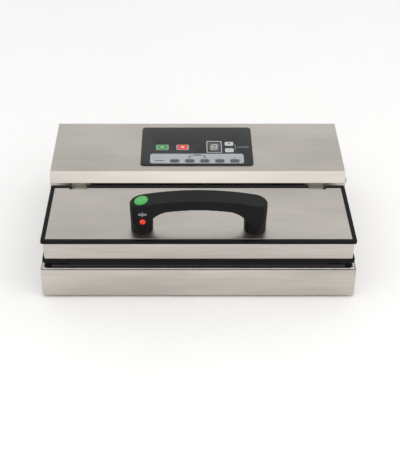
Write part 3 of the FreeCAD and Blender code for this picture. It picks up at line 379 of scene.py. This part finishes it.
def lathe(profile, place, axis=(0, 0, 1), steps=48):
    """Spins a profile of (radius, height) pairs round an axis through a place."""
    bm = bmesh.new()
    verts = [bm.verts.new((radius * MM, 0, height * MM)) for radius, height in profile]
    edges = [bm.edges.new(pair) for pair in zip(verts, verts[1:])]
    bmesh.ops.spin(bm, geom=verts + edges, axis=(0, 0, 1), cent=(0, 0, 0), angle=math.tau, steps=steps,
                   use_merge=True)
    bmesh.ops.remove_doubles(bm, verts=bm.verts, dist=0.001 * MM)
    turn = Vector((0, 0, 1)).rotation_difference(Vector(axis)).to_matrix().to_4x4()
    return moved(bm, shifted(*place) @ turn)


def carved(bm, cutter):
    """The first mesh less the second."""
    both = []
    for shape in (bm, cutter):
        bmesh.ops.recalc_face_normals(shape, faces=shape.faces)
        blank = bpy.data.objects.new("blank", bpy.data.meshes.new("blank"))
        shape.to_mesh(blank.data)
        shape.free()
        bpy.context.scene.collection.objects.link(blank)
        both.append(blank)
    cut = both[0].modifiers.new("cut", "BOOLEAN")
    cut.operation = "DIFFERENCE"
    cut.solver = "EXACT"
    cut.object = both[1]
    graph = bpy.context.evaluated_depsgraph_get()
    mesh = bpy.data.meshes.new_from_object(both[0].evaluated_get(graph))
    for blank in both:
        bpy.data.objects.remove(blank)
    result = bmesh.new()
    result.from_mesh(mesh)
    return result


# ------------------------------------------------------------------ printed marks
def bar(x, y, wide, long, base, thick=0.05, lean=0.0):
    """A flat printed bar centred at x, y."""
    bm = prism(wide, long, 0, thick, corner=min(wide, long) * 0.2)
    return moved(bm, shifted(x, y, base) @ Matrix.Rotation(math.radians(lean), 4, "Z"))


def arrow(x, y, size, base, heading, thick=0.05):
    """A flat triangle that points along a heading in degrees from +X."""
    bm = bmesh.new()
    bmesh.ops.create_cone(bm, cap_ends=True, segments=3, radius1=size * MM, radius2=size * MM,
                          depth=thick * MM)
    turn = Matrix.Rotation(math.radians(heading) - math.pi / 2, 4, "Z")
    return moved(bm, shifted(x, y, base + thick / 2) @ turn)


def printed(name, marks, node, ink, place=PANEL):
    """One object of flat marks in one ink, on top of a CAD node that still shows."""
    return piece(name, moved(together(marks), place), node, [ink], replace=False)


# ------------------------------------------------------------------ sheet metal, gaskets, inner parts
EASED = {
    # Folded and deburred sheet
    "base_shell": 0.35, "housing_cover": 0.5, "bottom_plate": 0.25, "lid_skirt": 0.3,
    "hinge_arm_left": 0.3, "hinge_arm_right": 0.3, "hinge_ears": 0.35,
    "pump_cradle": 0.4, "transformer_core": 0.4, "heating_strip": 0.05, "release_tape": 0.05,
    # Moulded and formed plastic
    "lid_trim": 0.35, "lid_lower_frame": 0.7, "lid_liner": 0.7, "chamber_deck": 0.25, "fan_frame": 0.5,
    "mains_inlet": 0.45, "power_switch": 0.35, "power_rocker": 0.35, "fan_rotor": 0.12,
    "release_valve": 0.8, "handle_switch": 0.4, "control_board": 0.15, "key_switches": 0.3,
    # Rubber, foam and castings
    "lower_gasket": 1.3, "upper_gasket": 0.9, "seal_pad": 0.8, "seal_bar": 0.6, "tray_port": 0.25,
    "side_port": 0.3, "pump_head_left": 1.2, "pump_head_right": 1.2, "pump_motor": 1.5,
    "transformer_coil": 2.5, "handle_screws": 0.4, "hinge_pins": 0.3,
    # Panel parts
    "control_panel": 0.2, "function_strip": 0.08, "display_bezel": 0.25, "digit_display": 0.15,
}
for cad_node, edge_width in EASED.items():
    eased(cad_node, edge_width)


def screws():
    """Pan-head screws with a cross recess, in the bottom and the back of the case."""
    profile = [(0, -4), (1.4, -4), (1.4, 0), (2.9, 0), (2.9, 0.5), (2.7, 1.0), (2.2, 1.45), (1.2, 1.72),
               (0, 1.8)]
    _, high = (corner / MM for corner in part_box("case_screws"))
    head_radius, pitch = 2.9, 135
    across = (high.x - head_radius, high.x - head_radius - pitch)
    rows, bottom = (-140, 140), 4
    spots = [((side * x, y, bottom), (0, 0, -1)) for side in (-1, 1) for x in across for y in rows]
    spots += [((x, 150, 54.6), (0, 1, 0)) for x in (-205, 0, 205)]
    heads = together([lathe(profile, place, axis, steps=32) for place, axis in spots])
    for turn in (0, 90):
        slots = []
        for place, axis in spots:
            slot = prism(3.6, 0.7, 0.9, 2.5, corner=0)
            face = Vector((0, 0, 1)).rotation_difference(Vector(axis)).to_matrix().to_4x4()
            slots.append(moved(slot, shifted(*place) @ face @ Matrix.Rotation(math.radians(turn), 4, "Z")))
        heads = carved(heads, together(slots))
    piece("cross_head_screws", heads, "case_screws")


def feet():
    """Turned rubber feet with a groove round the side and a hollow in the middle of the sole."""
    profile = [(0, 4), (9, 4), (9, 3.2), (8.5, 2.9), (8.5, 2.5), (8.7, 2.2), (8.1, 0.5), (7.5, 0.06),
               (7.2, 0), (3.6, 0), (3.2, 0.4), (3.0, 2), (0, 2)]
    _, high = (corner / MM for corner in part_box("rubber_feet"))
    sole_radius = 9
    x, y = high.x - sole_radius, high.y - sole_radius
    parts = [lathe(profile, (a * x, b * y, 0)) for a in (-1, 1) for b in (-1, 1)]
    piece("turned_feet", together(parts), "rubber_feet")


def small_turned_parts():
    """The deck's two pegs, the plug of the side port and the lamp's lens."""
    low, high = (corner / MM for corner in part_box("rim_rivets"))
    peg = [(0, -4), (1, -4), (1, 0.55), (0.8, 0.85), (0.45, 0.98), (0, 1)]
    parts = [lathe(peg, (x, (low.y + high.y) / 2, 48.6), steps=24) for x in (low.x + 1, high.x - 1)]
    piece("rim_pegs", together(parts), "rim_rivets")

    low, high = (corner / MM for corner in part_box("port_plug"))
    middle = ((low.y + high.y) / 2, (low.z + high.z) / 2)
    plug = [(0, 0), (1.7, 0), (2, 0.5), (2, 5.2), (4.2, 5.2), (4.55, 5.5), (4.6, 6.1), (4.2, 6.5),
            (3.9, 6.6), (3.7, 6.9), (3.4, 7.5), (2.7, 7.85), (1.3, 7.97), (0, 8)]
    piece("port_plug_turned", lathe(plug, (low.x, *middle), (1, 0, 0)), "port_plug")

    low, high = (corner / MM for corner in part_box("seal_lamp"))
    middle = ((low.x + high.x) / 2, (low.z + high.z) / 2)
    lens = [(0, 0), (4, 0), (4, 6.55), (3.87, 6.85), (3.55, 7.0), (3.1, 7.02), (2.8, 6.85),
            (2.5, 6.9), (1.9, 7.08), (1.1, 7.18), (0, 7.2)]
    piece("lamp_lens_turned", lathe(lens, (middle[0], high.y, middle[1]), (0, -1, 0)), "seal_lamp")


# ------------------------------------------------------------------ handle, its button and its marks
# The radius and highest point of the arch, the line of the posts, and the front of the grip.
CROWN_RADIUS, HANDLE_TOP, POST_Y, FRONT_Y = 419, 145.6, -117.5, -133.5
BUTTON_X = -77


def handle_parts():
    """The moulded handle, its domed oval button, and a pair of pressing bars as the sealing mark."""
    piece("handle_moulded", moulded("handle", 0.75, 6, seat=94.2, sunk=1.2), "handle", sharp=180, turn=False)
    tilt = math.asin(BUTTON_X / CROWN_RADIUS)
    height = HANDLE_TOP - CROWN_RADIUS * (1 - math.cos(tilt))
    seat = shifted(BUTTON_X, POST_Y, height) @ Matrix.Rotation(tilt, 4, "Y")
    cap = crowned(prism(18.8, 21, -6.2, 0.45), 0.5, 0.35, 1.9)
    piece("seal_button_cap", moved(cap, seat), "seal_button")
    marks = [bar(0, 1.5, 10.5, 1.3, 0.55, 0.3), bar(0, -1.5, 10.5, 1.3, 0.55, 0.3)]
    printed("button_mark", marks, "seal_button", GREEN_INK, seat)
    upright = shifted(-75, FRONT_Y + 0.15, 126) @ Matrix.Rotation(math.pi / 2, 4, "X")
    marks = [bar(0, 0.9, 11, 0.9, 0, 0.25), bar(0, -0.9, 11, 0.9, 0, 0.25),
             arrow(0, 2.6, 1.1, 0, -90, 0.25), arrow(0, -2.6, 1.1, 0, 90, 0.25)]
    printed("handle_mark", marks, "handle", SILVER_INK, upright)


# ------------------------------------------------------------------ control panel
def spot(node):
    """Where the middle of a node lies in the panel's plane, in mm."""
    low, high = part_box(node)
    middle = PANEL.inverted() @ ((low + high) / 2)
    return middle.x / MM, middle.y / MM


def key(node, wide, long, corner, step, rise=0.18):
    """A plain key of one colour, with a slightly domed top."""
    x, y = spot(node)
    cap = crowned(prism(wide, long, KEY_TOP - 3, KEY_TOP - rise, corner), 0.28, rise, step)
    return piece(f"{node}_cap", moved(cap, PANEL @ shifted(x, y, 0)), node)


def rimmed_key(node, wide, long, corner, side, end):
    """A key with a silver edge printed round its coloured pad, which is narrower by side and end."""
    x, y = spot(node)
    rim = crowned(prism(wide, long, KEY_TOP - 3, KEY_TOP - 0.3, corner), 0.28, 0.1, 0.4, rings=2)
    piece(f"{node}_rim", moved(rim, PANEL @ shifted(x, y, 0)), node, [SILVER_INK])
    pad = prism(wide - 2 * side, long - 2 * end, KEY_TOP - 0.4, KEY_TOP - 0.12, corner - end)
    pad = crowned(pad, 0.12, 0.12, 0.3)
    piece(f"{node}_pad", moved(pad, PANEL @ shifted(x, y, 0)), node, replace=False)
    return x, y, KEY_TOP + 0.02


def keys():
    """Start and stop keys, the two time keys and the five mode keys, each with a plain mark."""
    x, y, top = rimmed_key("start_key", 19, 15.2, 2.6, 1.7, 0.7)
    printed("start_mark", [arrow(x - 0.4, y, 3.0, top, 0)], "start_key", WHITE_INK)
    x, y, top = rimmed_key("stop_key", 19, 15.2, 2.6, 1.7, 0.7)
    printed("stop_mark", [bar(x, y, 4.4, 4.4, top)], "stop_key", WHITE_INK)
    for node, strokes in (("plus_key", ((4.4, 1.2), (1.2, 4.4))), ("minus_key", ((4.4, 1.2),))):
        key(node, 13, 10.6, 2.6, 0.5)
        x, y = spot(node)
        marks = [bar(x, y, wide, long, KEY_TOP) for wide, long in strokes]
        printed(f"{node}_mark", marks, node, BLACK_INK)
    for n in range(1, 6):
        x, y, top = rimmed_key(f"mode_key_{n}", 14.5, 10.4, 4.6, 0.9, 0.9)
        dots = [bar(x + (k - (n - 1) / 2) * 1.7, y - 0.2, 1.0, 1.5, top) for k in range(n)]
        printed(f"mode_mark_{n}", dots, f"mode_key_{n}", GREY_INK)


def panel_marks():
    """Plain guide lines and lamp windows in place of lettering."""
    (_, top_y), (_, low_y) = spot("plus_key"), spot("minus_key")
    middle = (top_y + low_y) / 2
    lines = [bar(57.2, middle, 0.6, 15, PANEL_TOP), bar(56.4, top_y - 1.4, 1.6, 0.6, PANEL_TOP),
             bar(56.4, low_y + 1.4, 1.6, 0.6, PANEL_TOP), bar(58.4, middle, 2.2, 0.6, PANEL_TOP)]
    lines += [bar(62.4 + 4.4 * n, middle, 3.2, 1.7, PANEL_TOP) for n in range(4)]
    printed("time_scale", lines, "control_panel", SILVER_INK)

    spots = [spot(f"mode_key_{n}") for n in range(1, 6)]
    row = spots[0][1]
    left, right = spots[1][0], spots[2][0]
    guide = [bar((left + right) / 2, row + 15.4, right - left, 0.7, STRIP_TOP),
             bar((left + right) / 2, row + 16.8, 12, 1.7, STRIP_TOP)]
    for x in (left, right):
        guide += [bar(x, row + 14, 0.7, 2.6, STRIP_TOP), arrow(x, row + 11.8, 2.0, STRIP_TOP, -90)]
    guide += [bar(-56 + 3.3 * n, row + 1.2, 2.9, 2.0, STRIP_TOP) for n in (-1.5, -0.5, 0.5, 1.5)]
    printed("strip_lines", guide, "function_strip", BLACK_INK)
    lamps = [bar(x, row + 8.6, 5, 1.5, STRIP_TOP) for x, _ in spots[1:]]
    printed("lamp_windows", lamps, "function_strip", GREY_INK)

    x, y = spot("power_lamp")
    lamp = crowned(prism(3.2, 3.2, 1.4, 2.0), 0.15, 0.1, 0.2, rings=2)
    piece("power_lamp_lens", moved(lamp, PANEL @ shifted(x, y, 0)), "power_lamp")


def digit():
    """One seven-segment digit, leaning a little, on its grey reflector behind the window."""
    x, y = spot("digit_display")
    low, lean = 1.16, math.tan(math.radians(8))
    place = PANEL @ shifted(x, y, 0)
    face = prism(15, 20, low - 0.3, low, corner=0.5)
    piece("digit_reflector", moved(face, place), "digit_display", [DIGIT_FACE], replace=False)
    half_wide, half_tall, thick = 3.6, 6.6, 2.0
    parts = [bar(0, row * half_tall, 2 * half_wide - 1.6, thick, low, 0.1) for row in (-1, 0, 1)]
    parts += [bar(side * half_wide, row * half_tall / 2, thick, half_tall - 1.6, low, 0.1)
              for side in (-1, 1) for row in (-1, 1)]
    slant = Matrix(((1, lean, 0, 0), (0, 1, 0, 0), (0, 0, 1, 0), (0, 0, 0, 1)))
    printed("digit_segments", [moved(together(parts), slant)], "digit_display", DIGIT_LIGHT, place)


def rolled(node, width):
    """A sheet part whose top is rolled over a wide radius along its outer edge."""
    bm = copy_of(node)
    low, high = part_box(node)

    def on(vert, axis, level):
        return abs(vert.co[axis] - level) < 0.01 * MM

    outer = [edge for edge in bm.edges if all(on(v, 2, high.z) for v in edge.verts)
             and any(all(on(v, axis, level) for v in edge.verts)
                     for axis in (0, 1) for level in (low[axis], high[axis]))]
    bevel(bm, outer, width, 8)
    piece(f"{node}_rolled", bm, node, turn=False)


screws()
feet()
small_turned_parts()
rolled("deck_rim", 1.5)
rolled("lid_plate", 0.9)
handle_parts()
keys()
panel_marks()
digit()

# Every CAD node that still shows takes the finish of its slot.
for cad_node, shown in frame["nodes"].items():
    shown.data.materials.clear()
    shown.data.materials.append(LOOKS[SLOT[cad_node]])


# ------------------------------------------------------------------ studio
def studio():
    """A pale floor, an even white surround, a wide softbox above the front and a small one at the right."""
    bm = bmesh.new()
    bmesh.ops.create_grid(bm, x_segments=1, y_segments=1, size=6.0)
    mesh = bpy.data.meshes.new("floor")
    bm.to_mesh(mesh)
    bm.free()
    floor = bpy.data.objects.new("floor", mesh)
    bpy.context.scene.collection.objects.link(floor)
    mesh.materials.append(surface("studio_floor", "#FCFCFC", "#FFFFFF", (0.75, 0.85), (300, 300, 300),
                                  clouds=(900, 900, 900)))

    world = bpy.data.worlds.new("studio")
    bpy.context.scene.world = world
    world.use_nodes = True
    background = world.node_tree.nodes["Background"]
    background.inputs["Color"].default_value = linear("#FFFFFF")
    background.inputs["Strength"].default_value = 0.84

    middle = Vector((0, 0, 0.05))
    for name, place, size, power in (("top_softbox", (0.05, -0.8, 1.7), (2.8, 1.6), 10),
                                     ("right_softbox", (1.8, -0.9, 0.9), (1.0, 1.0), 4)):
        lamp = bpy.data.lights.new(name, "AREA")
        lamp.shape = "RECTANGLE"
        lamp.size, lamp.size_y = size
        lamp.energy = power
        lamp.color = linear("#FFFCF7")[:3]
        holder = bpy.data.objects.new(name, lamp)
        holder.location = place
        holder.rotation_euler = (middle - Vector(place)).to_track_quat("-Z", "Y").to_euler()
        bpy.context.scene.collection.objects.link(holder)


def camera():
    """A long lens that looks down at the front, with the machine a little left of the middle."""
    lens = bpy.data.cameras.new("camera")
    lens.lens = 84
    lens.shift_x = 0.031
    holder = bpy.data.objects.new("camera", lens)
    holder.location = (-0.0169, -1.2987, 0.8955)
    tilt_down = 34
    holder.rotation_euler = (math.radians(90 - tilt_down), 0, 0)
    bpy.context.scene.collection.objects.link(holder)
    bpy.context.scene.camera = holder


studio()
camera()
bpy.context.scene.view_settings.view_transform = "Standard"
bpy.context.view_layer.update()
